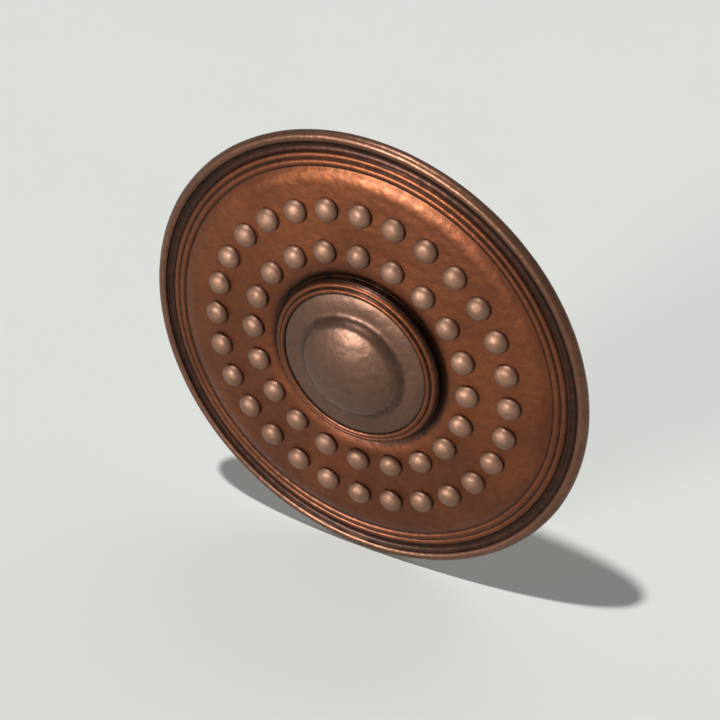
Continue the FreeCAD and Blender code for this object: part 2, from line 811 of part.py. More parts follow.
def grip_bar():
    """A wooden bar whose handle is rounded between two stops, with a thin paddle at each end."""
    body = new_body("grip_bar_blank")
    front = back("grip_front_height")
    pad(body, grip_side(front, "grip_depth", "grip_end_thickness"), "XY_Plane",
        "2 * grip_paddle_half + overrun", "side")
    shape = grip_outline("grip_handle_half", "grip_paddle_half", "grip_half_length")
    trim(body, shape, "XZ_Plane", "outline")
    rounding = oblong(body, "0", "grip_depth", "handle")
    outline(rounding, big_square())
    cutter = body.newObject("PartDesign::Pocket", "grip_bar_handle_cut")
    cutter.Profile = rounding
    cutter.Midplane = True
    cutter.setExpression("Length", spell("2 * grip_handle_length"))
    body.Tip = cutter
    return body


def grip_spine():
    """A bronze strip along the back of the grip, flared over the paddles."""
    body = new_body("grip_spine_blank")
    front = f"({back('grip_front_height')})"
    near_face = grip_side(front, "grip_depth", "grip_end_thickness")[2:]
    far_face = [(x, f"{y} + spine_thickness") for x, y in reversed(near_face)]
    pad(body, near_face + far_face, "XY_Plane", "2 * spine_paddle_half + overrun", "side")
    reach = "(grip_half_length - spine_end_inset)"
    trim(body, grip_outline("spine_half", "spine_paddle_half", reach), "XZ_Plane", "outline")
    return body


def oblong(body, gap, depth, name):
    """A rounded oblong round the handle, in the plane across the grip."""
    half = f"(grip_handle_half + {gap})"
    low = f"({back('grip_front_height')} - {gap})"
    high = f"({back('grip_front_height')} + {depth} + {gap})"
    bend = f"(grip_round + {gap})"
    sketch = sketch_on(body, "YZ_Plane", body.Name + "_" + name)
    outline(sketch, [
        (f"{high} - {bend}", f"-{half}"),
        (f"{high} - ARC_SHARE * {bend}", f"-{half} + ARC_SHARE * {bend}", high, f"-{half} + {bend}"),
        (high, f"{half} - {bend}"),
        (f"{high} - ARC_SHARE * {bend}", f"{half} - ARC_SHARE * {bend}", f"{high} - {bend}", half),
        (f"{low} + {bend}", half),
        (f"{low} + ARC_SHARE * {bend}", f"{half} - ARC_SHARE * {bend}", low, f"{half} - {bend}"),
        (low, f"-{half} + {bend}"),
        (f"{low} + ARC_SHARE * {bend}", f"-{half} + ARC_SHARE * {bend}", f"{low} + {bend}", f"-{half}"),
    ])
    return sketch


def grip_sleeve():
    """A leather sleeve sewn round the handle."""
    body = new_body("grip_sleeve")
    depth = "(grip_depth + spine_thickness)"
    outer = oblong(body, "(sleeve_gap + sleeve_thickness)", depth, "outside")
    solid = body.newObject("PartDesign::Pad", "grip_sleeve_pad")
    solid.Profile = outer
    solid.Midplane = True
    solid.setExpression("Length", spell("2 * sleeve_half_length"))
    body.Tip = solid
    inner = oblong(body, "sleeve_gap", depth, "inside")
    hollow = body.newObject("PartDesign::Pocket", "grip_sleeve_hollow")
    hollow.Profile = inner
    hollow.Type = "ThroughAll"
    hollow.Midplane = True
    body.Tip = hollow
    return body


def fitting_turn(side):
    """The turn about Z that sets a strap fitting square to the back where it sits."""
    return f"rotation(vector(0; 0; 1); {side}atan(loop_lean))"


def seat_strap_fitting(piece, side):
    """Sets a piece of a strap fitting on the lining. Its own Z is up the leg, and Y stands off the lining."""
    foot = back("outer_seat_height - loop_depth")
    tilt = "rotation(vector(1; 0; 0); -atan(loop_dip))"
    place = f"vector({side}loop_spread; {foot}; loop_rise)"
    piece.setExpression("Placement", spell(f"placement({place}; {fitting_turn(side)} * {tilt})"))


def loop_body(name):
    """A strip folded round the ring, with both legs nailed flat on the lining."""
    body = new_body(name)
    sketch = sketch_on(body, "YZ_Plane", name + "_section")
    outline(sketch, [
        ("0", "loop_leg_length"),
        ("2 * loop_wall", "loop_leg_length"),
        ("2 * loop_wall", "sqrt(loop_outer ^ 2 - (loop_outer - 2 * loop_wall) ^ 2)"),
        ("loop_outer + loop_bend_share * loop_outer", "loop_bend_share * loop_outer", "2 * loop_outer", "0"),
        ("loop_outer", "-loop_outer", "0", "0"),
    ])
    solid = body.newObject("PartDesign::Pad", name + "_pad")
    solid.Profile = sketch
    solid.Midplane = True
    solid.setExpression("Length", spell("loop_width"))
    body.Tip = solid
    bore = sketch_on(body, "YZ_Plane", name + "_bore")
    circle(bore, "loop_outer", "0", "loop_bore")
    hollow = body.newObject("PartDesign::Pocket", name + "_hollow")
    hollow.Profile = bore
    hollow.Type = "ThroughAll"
    hollow.Midplane = True
    body.Tip = hollow
    return body


def finish_loop(side, label):
    """Drills the legs for their nails and seats the fitting."""
    blank = loop_body(f"loop_blank_{label}")
    tools = nail_set(f"loop_drill_{label}", "(nail_radius + nail_gap)", None)
    loop = cut(f"ring_loop_{label}", blank, tools)
    seat_strap_fitting(loop, side)
    return loop


def nail_steps(radius):
    """A small domed head and a straight shank, along Y."""
    seat = "(2 * loop_wall + nail_gap)"
    return [
        ("0", f"{seat} - nail_length"),
        (radius, f"{seat} - nail_length"),
        (radius, seat),
        ("nail_head_radius", seat),
        ("cap_share * nail_head_radius", f"{seat} + cap_share * nail_head_height",
         "flat_share * nail_head_radius", f"{seat} + nail_head_height"),
        ("0", f"{seat} + nail_head_height"),
    ]


def nail_set(name, radius, side, headed=False):
    """Two nails, or the two plain drills for them, in the fitting's own frame."""
    pieces = []
    for place in ("nail_near", "nail_far"):
        if headed:
            nail = turned(f"{name}_{len(pieces)}", nail_steps(radius))
            nail.setExpression("Placement.Base.z", spell(place))
        else:
            base = ("0", "2 * loop_wall + nail_gap - nail_length - nail_gap", place)
            label = f"{name}_{len(pieces)}"
            nail = rod(label, radius, "nail_length + overrun / 4", base, FreeCAD.Vector(1, 0, 0), -90)
        pieces.append(nail)
    result = group(name, pieces)
    if side is not None:
        seat_strap_fitting(result, side)
    return result


def strap_ring(side, label):
    """A wire ring that hangs plumb from its loop."""
    ring = doc.addObject("Part::Torus", f"strap_ring_{label}")
    ring.Label = f"strap_ring_{label}"
    ring.setExpression("Radius1", spell("strap_ring_radius"))
    ring.setExpression("Radius2", spell("strap_wire_radius"))
    loop = doc.getObject(f"ring_loop_{label}")
    doc.recompute()
    eye = f"{loop.Name}.Placement.Base + {loop.Name}.Placement.Rotation * vector(0; loop_outer; 0)"
    drop = "vector(0; 0; loop_drop / 2 - strap_ring_radius)"
    turns = f"{fitting_turn(side)} * rotation(vector(1; 0; 0); 90)"
    ring.setExpression("Placement", spell(f"placement({eye} + {drop}; {turns})"))
    return ring


def plank(name, blank, x_low, x_high, z_low, z_high):
    """One board, cut from the turned blank between its joints."""
    slab = doc.addObject("Part::Box", name + "_slab")
    slab.setExpression("Length", spell(f"({x_high}) - ({x_low}) - joint_gap"))
    slab.setExpression("Width", spell("4 * overrun"))
    slab.setExpression("Height", spell(f"({z_high}) - ({z_low})"))
    slab.setExpression("Placement.Base.x", spell(f"({x_low}) + joint_gap / 2"))
    slab.setExpression("Placement.Base.y", spell("-2 * overrun"))
    slab.setExpression("Placement.Base.z", spell(z_low))
    board = doc.addObject("Part::Common", name)
    board.Base = blank
    board.Tool = slab
    board.Label = name
    return board


def build():
    """Makes every piece and returns those that become files, by name."""
    pieces = {}

    def keep(obj, name=None):
        obj.Label = name or obj.Name
        pieces[obj.Label] = obj
        return obj

    outer_holes = row_of("outer", "outer_stud_holes", hole_steps())
    inner_holes = row_of("inner", "inner_stud_holes", hole_steps())
    rivet_holes = grip_rivet_bodies("rivet_holes", rivet_hole_steps())
    nail_holes = [
        nail_set("nail_holes_right", "(nail_radius + nail_gap)", ""),
        nail_set("nail_holes_left", "(nail_radius + nail_gap)", "-"),
    ]
    peg_holes = dowels("dowel_holes", "(dowel_radius + dowel_gap)", "(dowel_length + 2 * dowel_gap)")
    plate_tools = group("plate_tools", [outer_holes, inner_holes])
    lining_tools = group("lining_tools", [outer_holes, inner_holes, rivet_holes] + nail_holes)
    board_tools = group("board_tools", [outer_holes, inner_holes, rivet_holes, peg_holes] + nail_holes)

    keep(cut("face_plate", turned("plate_blank", plate_section()), plate_tools))
    keep(turned("boss_shell", boss_section()))
    keep(turned("boss_seat_ring", seat_section()))
    keep(turned("rim_binding", rim_section()))
    keep(ring_of_wire("rim_wire", "wire_middle", "wire_radius"))
    keep(cut("back_lining", turned("lining_blank", lining_section()), lining_tools))

    blank = cut("board_blank", turned("board_disc", board_section()), board_tools)
    edge, reach = "outer_radius", "-outer_radius"
    keep(plank("core_board_left_outer", blank, reach, "-outer_joint", reach, edge))
    keep(plank("core_board_left_inner", blank, "-outer_joint", "-middle_plank_half", reach, edge))
    keep(plank("core_board_top", blank, "-middle_plank_half", "middle_plank_half", "0", edge))
    keep(plank("core_board_bottom", blank, "-middle_plank_half", "middle_plank_half", reach, "0"))
    keep(plank("core_board_right_inner", blank, "middle_plank_half", "outer_joint", reach, edge))
    keep(plank("core_board_right_outer", blank, "outer_joint", edge, reach, edge))
    keep(dowels("board_dowels", "dowel_radius", "dowel_length"))

    keep(row_of("outer", "outer_studs", stud_steps()))
    keep(row_of("inner", "inner_studs", stud_steps()))
    keep(row_of("outer", "outer_roves", rove_steps()))
    keep(row_of("inner", "inner_roves", rove_steps()))

    grip_holes = grip_rivet_bodies("grip_holes", rivet_hole_steps())
    keep(cut("grip_bar", grip_bar(), grip_holes))
    keep(cut("grip_spine", grip_spine(), grip_holes))
    keep(grip_sleeve())
    keep(grip_rivet_bodies("grip_rivets", rivet_steps()))

    for side, label in (("-", "left"), ("", "right")):
        keep(finish_loop(side, label))
        keep(nail_set(f"loop_nails_{label}", "nail_radius", side, headed=True))
        keep(strap_ring(side, label))
    return pieces


def check(pieces):
    doc.recompute()
    for obj in doc.Objects:
        if "Invalid" in obj.State or "Error" in obj.State:
            raise RuntimeError(f"{obj.Name} failed: {obj.State}")
    for name, obj in pieces.items():
        if obj.Shape.isNull() or not obj.Shape.isValid() or not obj.Shape.Solids:
            raise RuntimeError(f"{name} has no sound solid")


def write(pieces):
    os.makedirs("parts", exist_ok=True)
    for name, obj in pieces.items():
        obj.Shape.exportStep(os.path.join("parts", name + ".step"))
        print(f"{name}: {len(obj.Shape.Solids)} solids, {obj.Shape.Volume:.0f} mm3")


pieces = build()
check(pieces)
write(pieces)
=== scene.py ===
import math
import bpy
import numpy as np
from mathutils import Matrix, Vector, noise


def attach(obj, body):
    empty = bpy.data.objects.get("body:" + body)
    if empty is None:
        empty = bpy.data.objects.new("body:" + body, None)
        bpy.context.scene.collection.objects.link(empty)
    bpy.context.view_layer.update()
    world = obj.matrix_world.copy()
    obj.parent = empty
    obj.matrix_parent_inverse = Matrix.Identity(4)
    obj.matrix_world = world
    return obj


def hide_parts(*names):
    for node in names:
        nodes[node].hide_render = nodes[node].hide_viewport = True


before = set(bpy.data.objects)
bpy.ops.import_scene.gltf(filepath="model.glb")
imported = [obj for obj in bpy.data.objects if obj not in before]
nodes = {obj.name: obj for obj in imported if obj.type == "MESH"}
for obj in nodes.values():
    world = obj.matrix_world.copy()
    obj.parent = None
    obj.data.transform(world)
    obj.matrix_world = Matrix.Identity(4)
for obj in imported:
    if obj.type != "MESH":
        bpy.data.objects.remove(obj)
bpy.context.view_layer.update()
MM = 0.001
TURN = 2 * math.pi

# The shield's axis is Y and its front faces -Y. A height is measured towards the front,
# in millimetres, from the middle plane of the rim roll, as in the part's source.
AXIS_SHIFT = 0.5
BACK = Vector((0, 1, 0))

# A section that meets its axis stops this far from it, and the small hole is left or capped.
TIP = 0.02


# Sections: points in (radius, height), in millimetres.

def arc(start, via, stop, count):
    """Points on the circle through three points, from after the start to the stop."""
    (ax, ay), (bx, by), (cx, cy) = start, via, stop
    d = 2 * (ax * (by - cy) + bx * (cy - ay) + cx * (ay - by))
    a2, b2, c2 = ax * ax + ay * ay, bx * bx + by * by, cx * cx + cy * cy
    ux = (a2 * (by - cy) + b2 * (cy - ay) + c2 * (ay - by)) / d
    uy = (a2 * (cx - bx) + b2 * (ax - cx) + c2 * (bx - ax)) / d
    first, middle, last = (math.atan2(y - uy, x - ux) for x, y in (start, via, stop))
    sweep = (last - first) % TURN
    if (middle - first) % TURN > sweep:
        sweep -= TURN
    radius = math.hypot(ax - ux, ay - uy)
    angles = [first + sweep * i / count for i in range(1, count + 1)]
    return [(ux + radius * math.cos(angle), uy + radius * math.sin(angle)) for angle in angles]


def walk(start, steps, pace):
    """A section line with a point about every pace. A step of two numbers is a line's end, and one of
    four is a point on an arc and the arc's end."""
    line = [start]
    for step in steps:
        here = line[-1]
        stop = step[-2:]
        count = max(1, math.ceil(math.dist(here, stop) / pace))
        if len(step) == 4:
            line += arc(here, step[:2], stop, count)
        else:
            line += [(here[0] + (stop[0] - here[0]) * i / count, here[1] + (stop[1] - here[1]) * i / count)
                     for i in range(1, count + 1)]
    return line


def rounded(line, passes):
    """The line with its sharp corners eased, its two ends kept."""
    points = np.array(line)
    for _ in range(passes):
        points[1:-1] = points[1:-1] / 2 + (points[:-2] + points[2:]) / 4
    return [tuple(p) for p in points]


def shell(front, wall, every):
    """A closed section: the front line, and every so many of its points again, behind it by the wall."""
    rear = [(r, h - wall) for r, h in front][::-1]
    return front + rear[::every] + ([rear[-1]] if (len(rear) - 1) % every else [])


# Mesh builders. Every piece is made in the shield's own frame, in metres.

def to_mesh(name, points, faces, painted_shade_and_dirt):
    """A smooth piece, with its darkening by point from 0 to 1: painted shade and dirt."""
    mesh = bpy.data.meshes.new(name)
    mesh.from_pydata([tuple(p) for p in points], [], faces)
    layer = mesh.attributes.new("painted_shade_and_dirt", "FLOAT", "POINT")
    layer.data.foreach_set("value", np.asarray(painted_shade_and_dirt, np.float32))
    mesh.polygons.foreach_set("use_smooth", [True] * len(mesh.polygons))
    mesh.update()
    piece = bpy.data.objects.new(name, mesh)
    bpy.context.scene.collection.objects.link(piece)
    return piece


def ring_faces(rings, segments, closed, flip=False):
    """Faces between rings of points, each ring of as many points as segments."""
    faces = []
    last = rings if closed else rings - 1
    for i in range(last):
        a, b = i * segments, (i + 1) % rings * segments
        for j in range(segments):
            k = (j + 1) % segments
            face = (a + j, b + j, b + k, a + k)
            faces.append(face[::-1] if flip else face)
    return faces


def tube_faces(first, rings, sides):
    """The faces of a tube and its two flat ends. Its points are numbered from the first."""
    last = first + (rings - 1) * sides
    walls = [tuple(first + v for v in face) for face in ring_faces(rings, sides, False)]
    return walls + [tuple(range(first, first + sides)), tuple(range(last, last + sides))[::-1]]


def soft_noise(points, scale, seed):
    """Smooth noise from -1 to 1 at points in millimetres, with features about scale long."""
    shift = Vector((seed * 17.3, seed * 5.1, -seed * 9.7))
    return np.array([noise.noise(Vector(p) / scale + shift) for p in points])


def spin(section, segments):
    """Turns a section about the axis. Returns points in millimetres and the outward normals."""
    line = np.array(section, float)
    ahead, behind = np.roll(line, -1, 0), np.roll(line, 1, 0)
    along = ahead - behind
    along /= np.maximum(np.linalg.norm(along, axis=1), 1e-9)[:, None]
    out = np.stack([-along[:, 1], along[:, 0]], 1)
    angles = np.arange(segments) * TURN / segments
    cos, sin = np.cos(angles), np.sin(angles)
    radius, height = line[:, 0][:, None], line[:, 1][:, None]
    points = np.stack([radius * cos, AXIS_SHIFT - height + 0 * cos, radius * sin], 2)
    normal = np.stack([out[:, 0][:, None] * cos, -out[:, 1][:, None] + 0 * cos, out[:, 0][:, None] * sin], 2)
    return points.reshape(-1, 3), normal.reshape(-1, 3)


def turned(name, section, hammer, painted_shade_and_dirt, segments, calm=None):
    """A closed turned piece. hammer is a list of (depth, scale, seed). The next argument gives the darkening
    by radius, painted shade and dirt, and calm the share of the hammer marks' depth."""
    points, normal = spin(section, segments)
    lift = sum(depth * soft_noise(points, scale, seed) for depth, scale, seed in hammer)
    share = np.repeat([calm(radius) if calm else 1.0 for radius, _ in section], segments)
    points = points + normal * (lift * share)[:, None]
    shade_and_dirt = np.repeat([painted_shade_and_dirt(radius) for radius, _ in section], segments)
    return to_mesh(name, points * MM, ring_faces(len(section), segments, True), shade_and_dirt)


def ramp(value, start, end):
    """0 at the start and before it, 1 at the end and past it, smooth between. The end may be the lower."""
    t = min(max((value - start) / (end - start), 0.0), 1.0)
    return t * t * (3 - 2 * t)


def near(value, place, reach):
    """1 at a place, and smoothly 0 a reach away from it."""
    return 1 - ramp(abs(value - place), 0, reach)


# Materials. Scales are in features per metre, and bumps in metres.

BRONZE_LOOK = {"Metallic": 0.85, "Specular IOR Level": 0.5, "Coat Weight": 0.15, "Coat Roughness": 0.34}


class Shader:
    """Short names for building a material's nodes."""

    def __init__(self, name):
        self.material = bpy.data.materials.new(name)
        self.material.use_nodes = True
        self.tree = self.material.node_tree
        self.tree.nodes.clear()
        self.out = self.add("ShaderNodeOutputMaterial")
        self.bsdf = self.add("ShaderNodeBsdfPrincipled")
        self.link(self.bsdf.outputs["BSDF"], self.out.inputs["Surface"])
        self.place = self.add("ShaderNodeTexCoord").outputs["Object"]

    def add(self, kind, **values):
        node = self.tree.nodes.new(kind)
        for key, value in values.items():
            setattr(node, key, value)
        return node

    def link(self, source, target):
        self.tree.links.new(source, target)

    def feed(self, socket, value):
        if isinstance(value, bpy.types.NodeSocket):
            self.link(value, socket)
        else:
            socket.default_value = value

    def stretch(self, scale):
        node = self.add("ShaderNodeMapping")
        self.link(self.place, node.inputs["Vector"])
        node.inputs["Scale"].default_value = scale
        return node.outputs["Vector"]

    def noise(self, scale, detail, rough, place=None, twist=0.0):
        node = self.add("ShaderNodeTexNoise")
        self.link(place or self.place, node.inputs["Vector"])
        node.inputs["Scale"].default_value = scale
        node.inputs["Detail"].default_value = detail
        node.inputs["Roughness"].default_value = rough
        node.inputs["Distortion"].default_value = twist
        return node.outputs["Fac"]

    def cells(self, scale, feature):
        node = self.add("ShaderNodeTexVoronoi", feature=feature)
        self.link(self.place, node.inputs["Vector"])
        node.inputs["Scale"].default_value = scale
        return node.outputs["Distance"]

    def wave(self, scale, detail, place, twist):
        node = self.add("ShaderNodeTexWave")
        self.link(place, node.inputs["Vector"])
        node.inputs["Scale"].default_value = scale
        node.inputs["Distortion"].default_value = twist
        node.inputs["Detail"].default_value = detail
        return node.outputs["Fac"]

    def attribute(self, name):
        return self.add("ShaderNodeAttribute", attribute_name=name).outputs["Fac"]

    def math(self, kind, a, b):
        node = self.add("ShaderNodeMath", operation=kind)
        self.feed(node.inputs[0], a)
        self.feed(node.inputs[1], b)
        return node.outputs[0]

    def span(self, value, low, high, bottom=0.0, top=1.0):
        """Bottom where the value is at low, top where it is at high, smooth between."""
        node = self.add("ShaderNodeMapRange", interpolation_type="SMOOTHSTEP")
        self.feed(node.inputs["Value"], value)
        for key, number in (("From Min", low), ("From Max", high), ("To Min", bottom), ("To Max", top)):
            node.inputs[key].default_value = number
        return node.outputs["Result"]

    def mix(self, amount, first, second):
        node = self.add("ShaderNodeMix", data_type="RGBA")
        self.feed(node.inputs["Factor"], amount)
        self.feed(node.inputs[6], first)
        self.feed(node.inputs[7], second)
        return node.outputs[2]

    def bump(self, height, distance, strength, before=None):
        node = self.add("ShaderNodeBump")
        node.inputs["Strength"].default_value = strength
        node.inputs["Distance"].default_value = distance
        self.link(height, node.inputs["Height"])
        if before:
            self.link(before, node.inputs["Normal"])
        return node.outputs["Normal"]

    def finish(self, colour, rough, normal, look=None):
        """Feeds the surface, with a look's further inputs by name, and returns the material."""
        self.feed(self.bsdf.inputs["Base Color"], colour)
        self.feed(self.bsdf.inputs["Roughness"], rough)
        self.link(normal, self.bsdf.inputs["Normal"])
        for key, value in (look or {}).items():
            self.bsdf.inputs[key].default_value = value
        return self.material


def rgb(r, g, b):
    """A colour given as it looks on a screen, from 0 to 255."""
    def straight(c):
        c /= 255
        return c / 12.92 if c <= 0.04045 else ((c + 0.055) / 1.055) ** 2.4
    return (straight(r), straight(g), straight(b), 1.0)


# The bronze's near-black is painted shade in hollows and creases, with some patina; the leather's is dirt.
BRONZE_SHADE_AND_PATINA, LEATHER_DIRT = rgb(24, 12, 8), rgb(24, 15, 10)


def bronze(name, base, light, dark, rough, dimples, has_painted_shade=True):
    """Hand-worked bronze: faintly mottled colour, painted shade with some patina in the hollows, soft hammer
    marks.
    """
    s = Shader(name)
    broad = s.noise(scale=9, detail=3, rough=0.5, twist=0.3)
    patch = s.noise(scale=110, detail=4, rough=0.55, twist=0.2)
    speck = s.noise(scale=700, detail=3, rough=0.6)
    colour = s.mix(s.span(broad, low=0.3, high=0.7), base, light)
    colour = s.mix(s.span(patch, low=0.6, high=0.3, top=0.45), colour, dark)
    colour = s.mix(s.span(speck, low=0.6, high=0.8, top=0.35), colour, dark)
    if has_painted_shade:
        # Painted shade, with some patina, laid on where the piece's darkening is high.
        cover = s.span(patch, low=0.25, high=0.75, bottom=1.0, top=0.75)
        colour = s.mix(s.math("MULTIPLY", s.attribute("painted_shade_and_dirt"), cover), colour, BRONZE_SHADE_AND_PATINA)
    mottle = s.math("ADD", patch, s.math("MULTIPLY", speck, 0.5))
    roughness = s.span(mottle, low=0.5, high=1.0, bottom=rough + 0.05, top=rough - 0.05)
    marks = s.cells(scale=dimples, feature="SMOOTH_F1")
    normal = s.bump(marks, distance=0.0010, strength=0.35)
    normal = s.bump(patch, distance=0.0008, strength=0.5, before=normal)
    normal = s.bump(speck, distance=0.0001, strength=0.35, before=normal)
    return s.finish(colour, roughness, normal, BRONZE_LOOK)


def leather(name, base, light, dark, rough):
    """Leather, and the waxed thread: grain, creases paler on their tops, and dirt."""
    s = Shader(name)
    broad = s.noise(scale=9, detail=4, rough=0.6, twist=0.6)
    grain = s.cells(scale=520, feature="F1")
    fine = s.noise(scale=1500, detail=3, rough=0.6)
    crease = s.noise(scale=60, detail=5, rough=0.65, twist=1.2)
    colour = s.mix(s.span(broad, low=0.3, high=0.7), dark, base)
    colour = s.mix(s.span(crease, low=0.55, high=0.75, top=0.5), colour, light)
    colour = s.mix(s.math("MULTIPLY", s.attribute("painted_shade_and_dirt"), 0.8), colour, LEATHER_DIRT)
    roughness = s.span(crease, low=0.3, high=0.7, bottom=rough + 0.12, top=rough - 0.08)
    normal = s.bump(grain, distance=0.0004, strength=0.5)
    normal = s.bump(crease, distance=0.0010, strength=0.4, before=normal)
    normal = s.bump(fine, distance=0.0001, strength=0.4, before=normal)
    return s.finish(colour, roughness, normal)


def wood(name, base, light, dark, rough, along):
    """Planed wood. along is the scale by axis, small along the grain."""
    s = Shader(name)
    place = s.stretch(along)
    rings = s.wave(scale=34, detail=3.0, place=place, twist=5.0)
    fibre = s.noise(scale=260, detail=4, rough=0.65, place=place)
    pores = s.noise(scale=900, detail=2, rough=0.5, place=place)
    broad = s.noise(scale=9, detail=3, rough=0.5)
    colour = s.mix(rings, base, dark)
    colour = s.mix(s.span(fibre, low=0.45, high=0.75, top=0.55), colour, light)
    colour = s.mix(s.span(pores, low=0.62, high=0.75, top=0.5), colour, dark)
    colour = s.mix(s.span(broad, low=0.4, high=0.7, top=0.35), colour, dark)
    roughness = s.span(fibre, low=0.3, high=0.7, bottom=rough + 0.08, top=rough - 0.08)
    normal = s.bump(fibre, distance=0.0004, strength=0.4)
    normal = s.bump(pores, distance=0.0002, strength=0.5, before=normal)
    return s.finish(colour, roughness, normal)


PLATE_METAL = bronze("plate_bronze", base=rgb(94, 48, 23), light=rgb(112, 61, 31), dark=rgb(68, 34, 16),
                     rough=0.40, dimples=110)
BOSS_METAL = bronze("boss_bronze", base=rgb(90, 63, 50), light=rgb(106, 76, 61), dark=rgb(68, 47, 36),
                    rough=0.38, dimples=90)
RIM_METAL = bronze("rim_bronze", base=rgb(98, 66, 49), light=rgb(114, 78, 59), dark=rgb(72, 47, 35),
                   rough=0.37, dimples=120)
STUD_METAL = bronze("stud_bronze", base=rgb(124, 92, 74), light=rgb(138, 104, 85), dark=rgb(102, 74, 58),
                    rough=0.54, dimples=150)
FITTING_METAL = bronze("fitting_bronze", base=rgb(150, 104, 72), light=rgb(184, 134, 94),
                       dark=rgb(88, 58, 40), rough=0.42, dimples=160, has_painted_shade=False)
LINING_HIDE = leather("lining_leather", base=rgb(160, 116, 82), light=rgb(188, 146, 110),
                      dark=rgb(120, 82, 56), rough=0.62)
SLEEVE_HIDE = leather("sleeve_leather", base=rgb(92, 58, 40), light=rgb(122, 82, 58), dark=rgb(62, 38, 26),
                      rough=0.5)
THREAD = leather("sleeve_thread", base=rgb(196, 176, 140), light=rgb(214, 198, 166), dark=rgb(160, 138, 104),
                 rough=0.7)
BOARD_WOOD = wood("board_wood", base=rgb(176, 138, 100), light=rgb(200, 166, 126), dark=rgb(134, 98, 66),
                  rough=0.6, along=(1, 1, 0.08))
GRIP_WOOD = wood("grip_wood", base=rgb(128, 84, 54), light=rgb(158, 110, 74), dark=rgb(84, 52, 32),
                 rough=0.5, along=(0.08, 1, 1))


# Pieces.

def paint(piece, material, slot_name):
    piece.data.materials.clear()
    piece.data.materials.append(material)


def stand_for(piece, node, material, slot_name, body="shield"):
    """Paints a piece and puts it in a CAD node's place."""
    paint(piece, material, slot_name)
    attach(piece, body)
    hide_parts(node)


# The face plate. Each stretch of its front has a pace of its own.

PLATE_START = (97.8, 31.2)
COLLAR = [(98.5, 31.2), (101.8, 32.2, 105.0, 28.6), (108.3, 29.4, 111.4, 26.3), (113.4, 23.9), (114.0, 15.2)]
FIELD = [(124.0, 18.5, 140.0, 19.7), (165.0, 18.1), (187.0, 16.9), (222.0, 14.5), (234.0, 13.5),
         (247.5, 11.2, 255.4, 7.9)]
BEADS = [(257.0, 7.4), (261.7, 9.0, 266.4, 6.2), (270.6, 7.6, 274.8, 4.8), (280.6, 1.9, 286.4, 4.5),
         (289.5, 4.5)]
PLATE_PACES = ((COLLAR, 0.5), (FIELD, 1.2), (BEADS, 0.6))
PLATE_WALL, PLATE_SEGMENTS = 1.0, 576
PLATE_HAMMER = [(0.2, 13, 1), (0.3, 42, 2)]

# Painted shade on the plate by radius, with some patina: how dark, and where it comes and goes.
MOAT_SHADE, MOAT_COMES, MOAT_GOES = 0.97, (110.8, 111.8), (118, 127)
CHANNEL_SHADE, CHANNEL_COMES = 0.92, (275.5, 277.5)
# Painted shade in the grooves: how dark, how full across, how far to each side, and their radii.
GROOVES = ((0.97, 1.8, 1.5, (98.2, 105.0)), (0.95, 1.6, 1.9, (257.0, 266.4, 274.8)))
# The least share of the hammer marks' depth, and where the field's full share comes and goes.
CALM_SHARE, CALM_ENDS, CALM_STARTS = 0.25, (112, 124), (248, 254)


def plate_painted_shade(radius):
    """Painted shade, with some dark patina, on the collar's wall, in its moat, in the grooves and in the
    channel.
    """
    shade_and_dirt = [MOAT_SHADE * ramp(radius, *MOAT_COMES) * (1 - ramp(radius, *MOAT_GOES)),
            CHANNEL_SHADE * ramp(radius, *CHANNEL_COMES)]
    for dark, full, reach, places in GROOVES:
        shade_and_dirt += [dark * min(1.0, full * near(radius, place, reach)) for place in places]
    return max(shade_and_dirt)


def plate_calm(radius):
    """The hammer marks fade over the collar and over the beads at the rim."""
    field = ramp(radius, *CALM_ENDS) * (1 - ramp(radius, *CALM_STARTS))
    return CALM_SHARE + (1 - CALM_SHARE) * field


plate_line = [PLATE_START]
for stretch, pace in PLATE_PACES:
    plate_line += walk(plate_line[-1], stretch, pace)[1:]
plate_line = rounded(plate_line, passes=2)
plate = turned("face_plate_sheet", shell(plate_line, PLATE_WALL, every=3), PLATE_HAMMER, plate_painted_shade,
               PLATE_SEGMENTS, plate_calm)
stand_for(plate, "face_plate", PLATE_METAL, "plate_bronze")


# The boss. Its flange lies under the collar and keeps its corner.

BOSS_START = (0.0, 56.9)
BOSS = [(40.6, 52.16, 58.0, 47.1), (61.7, 45.1, 64.5, 42.1), (66.5, 39.1), (69.9, 35.8, 74.5, 34.4),
        (81.0, 33.8), (89.2, 32.5, 97.0, 30.4)]
FLANGE = [(97.8, 29.8), (110.5, 25.0)]
BOSS_PACE, BOSS_WALL, BOSS_SEGMENTS = 1.1, 1.2, 288
BOSS_HAMMER = [(0.16, 15, 5), (0.3, 38, 6)]
# Dirt in the joint to the collar, and painted shade round the foot of the dome.
JOINT_DIRT, JOINT_COMES = 0.9, (96.0, 98.0)
FOOT_SHADE, FOOT_PLACE, FOOT_REACH = 0.45, 70.0, 6.0


def boss_painted_shade(radius):
    """Painted shade at the foot of the dome, and dirt in the joint to the collar."""
    return max(JOINT_DIRT * ramp(radius, *JOINT_COMES), FOOT_SHADE * near(radius, FOOT_PLACE, FOOT_REACH))


boss_line = rounded(walk(BOSS_START, BOSS, BOSS_PACE), passes=14)
boss_line += walk(boss_line[-1], FLANGE, BOSS_PACE)[1:]
boss_line[0] = (TIP, boss_line[1][1])
boss = turned("boss_dome", shell(boss_line, BOSS_WALL, every=3), BOSS_HAMMER, boss_painted_shade, BOSS_SEGMENTS)
stand_for(boss, "boss_shell", BOSS_METAL, "boss_bronze")


# The rim binding.

ROLL_MIDDLE, ROLL_OUTER, ROLL_INNER, ROLL_LIP = 292.5, 7.5, 6.5, 4.6
ROLL_PACE_OUTSIDE, ROLL_PACE_INSIDE, ROLL_SEGMENTS = 0.5, 2.0, 576
ROLL_HAMMER = [(0.14, 14, 8), (0.22, 46, 9)]
# Painted shade on the roll's side towards its lips: how dark, and where it comes.
LIP_SHADE, LIP_COMES = 0.8, (289.2, 286.4)


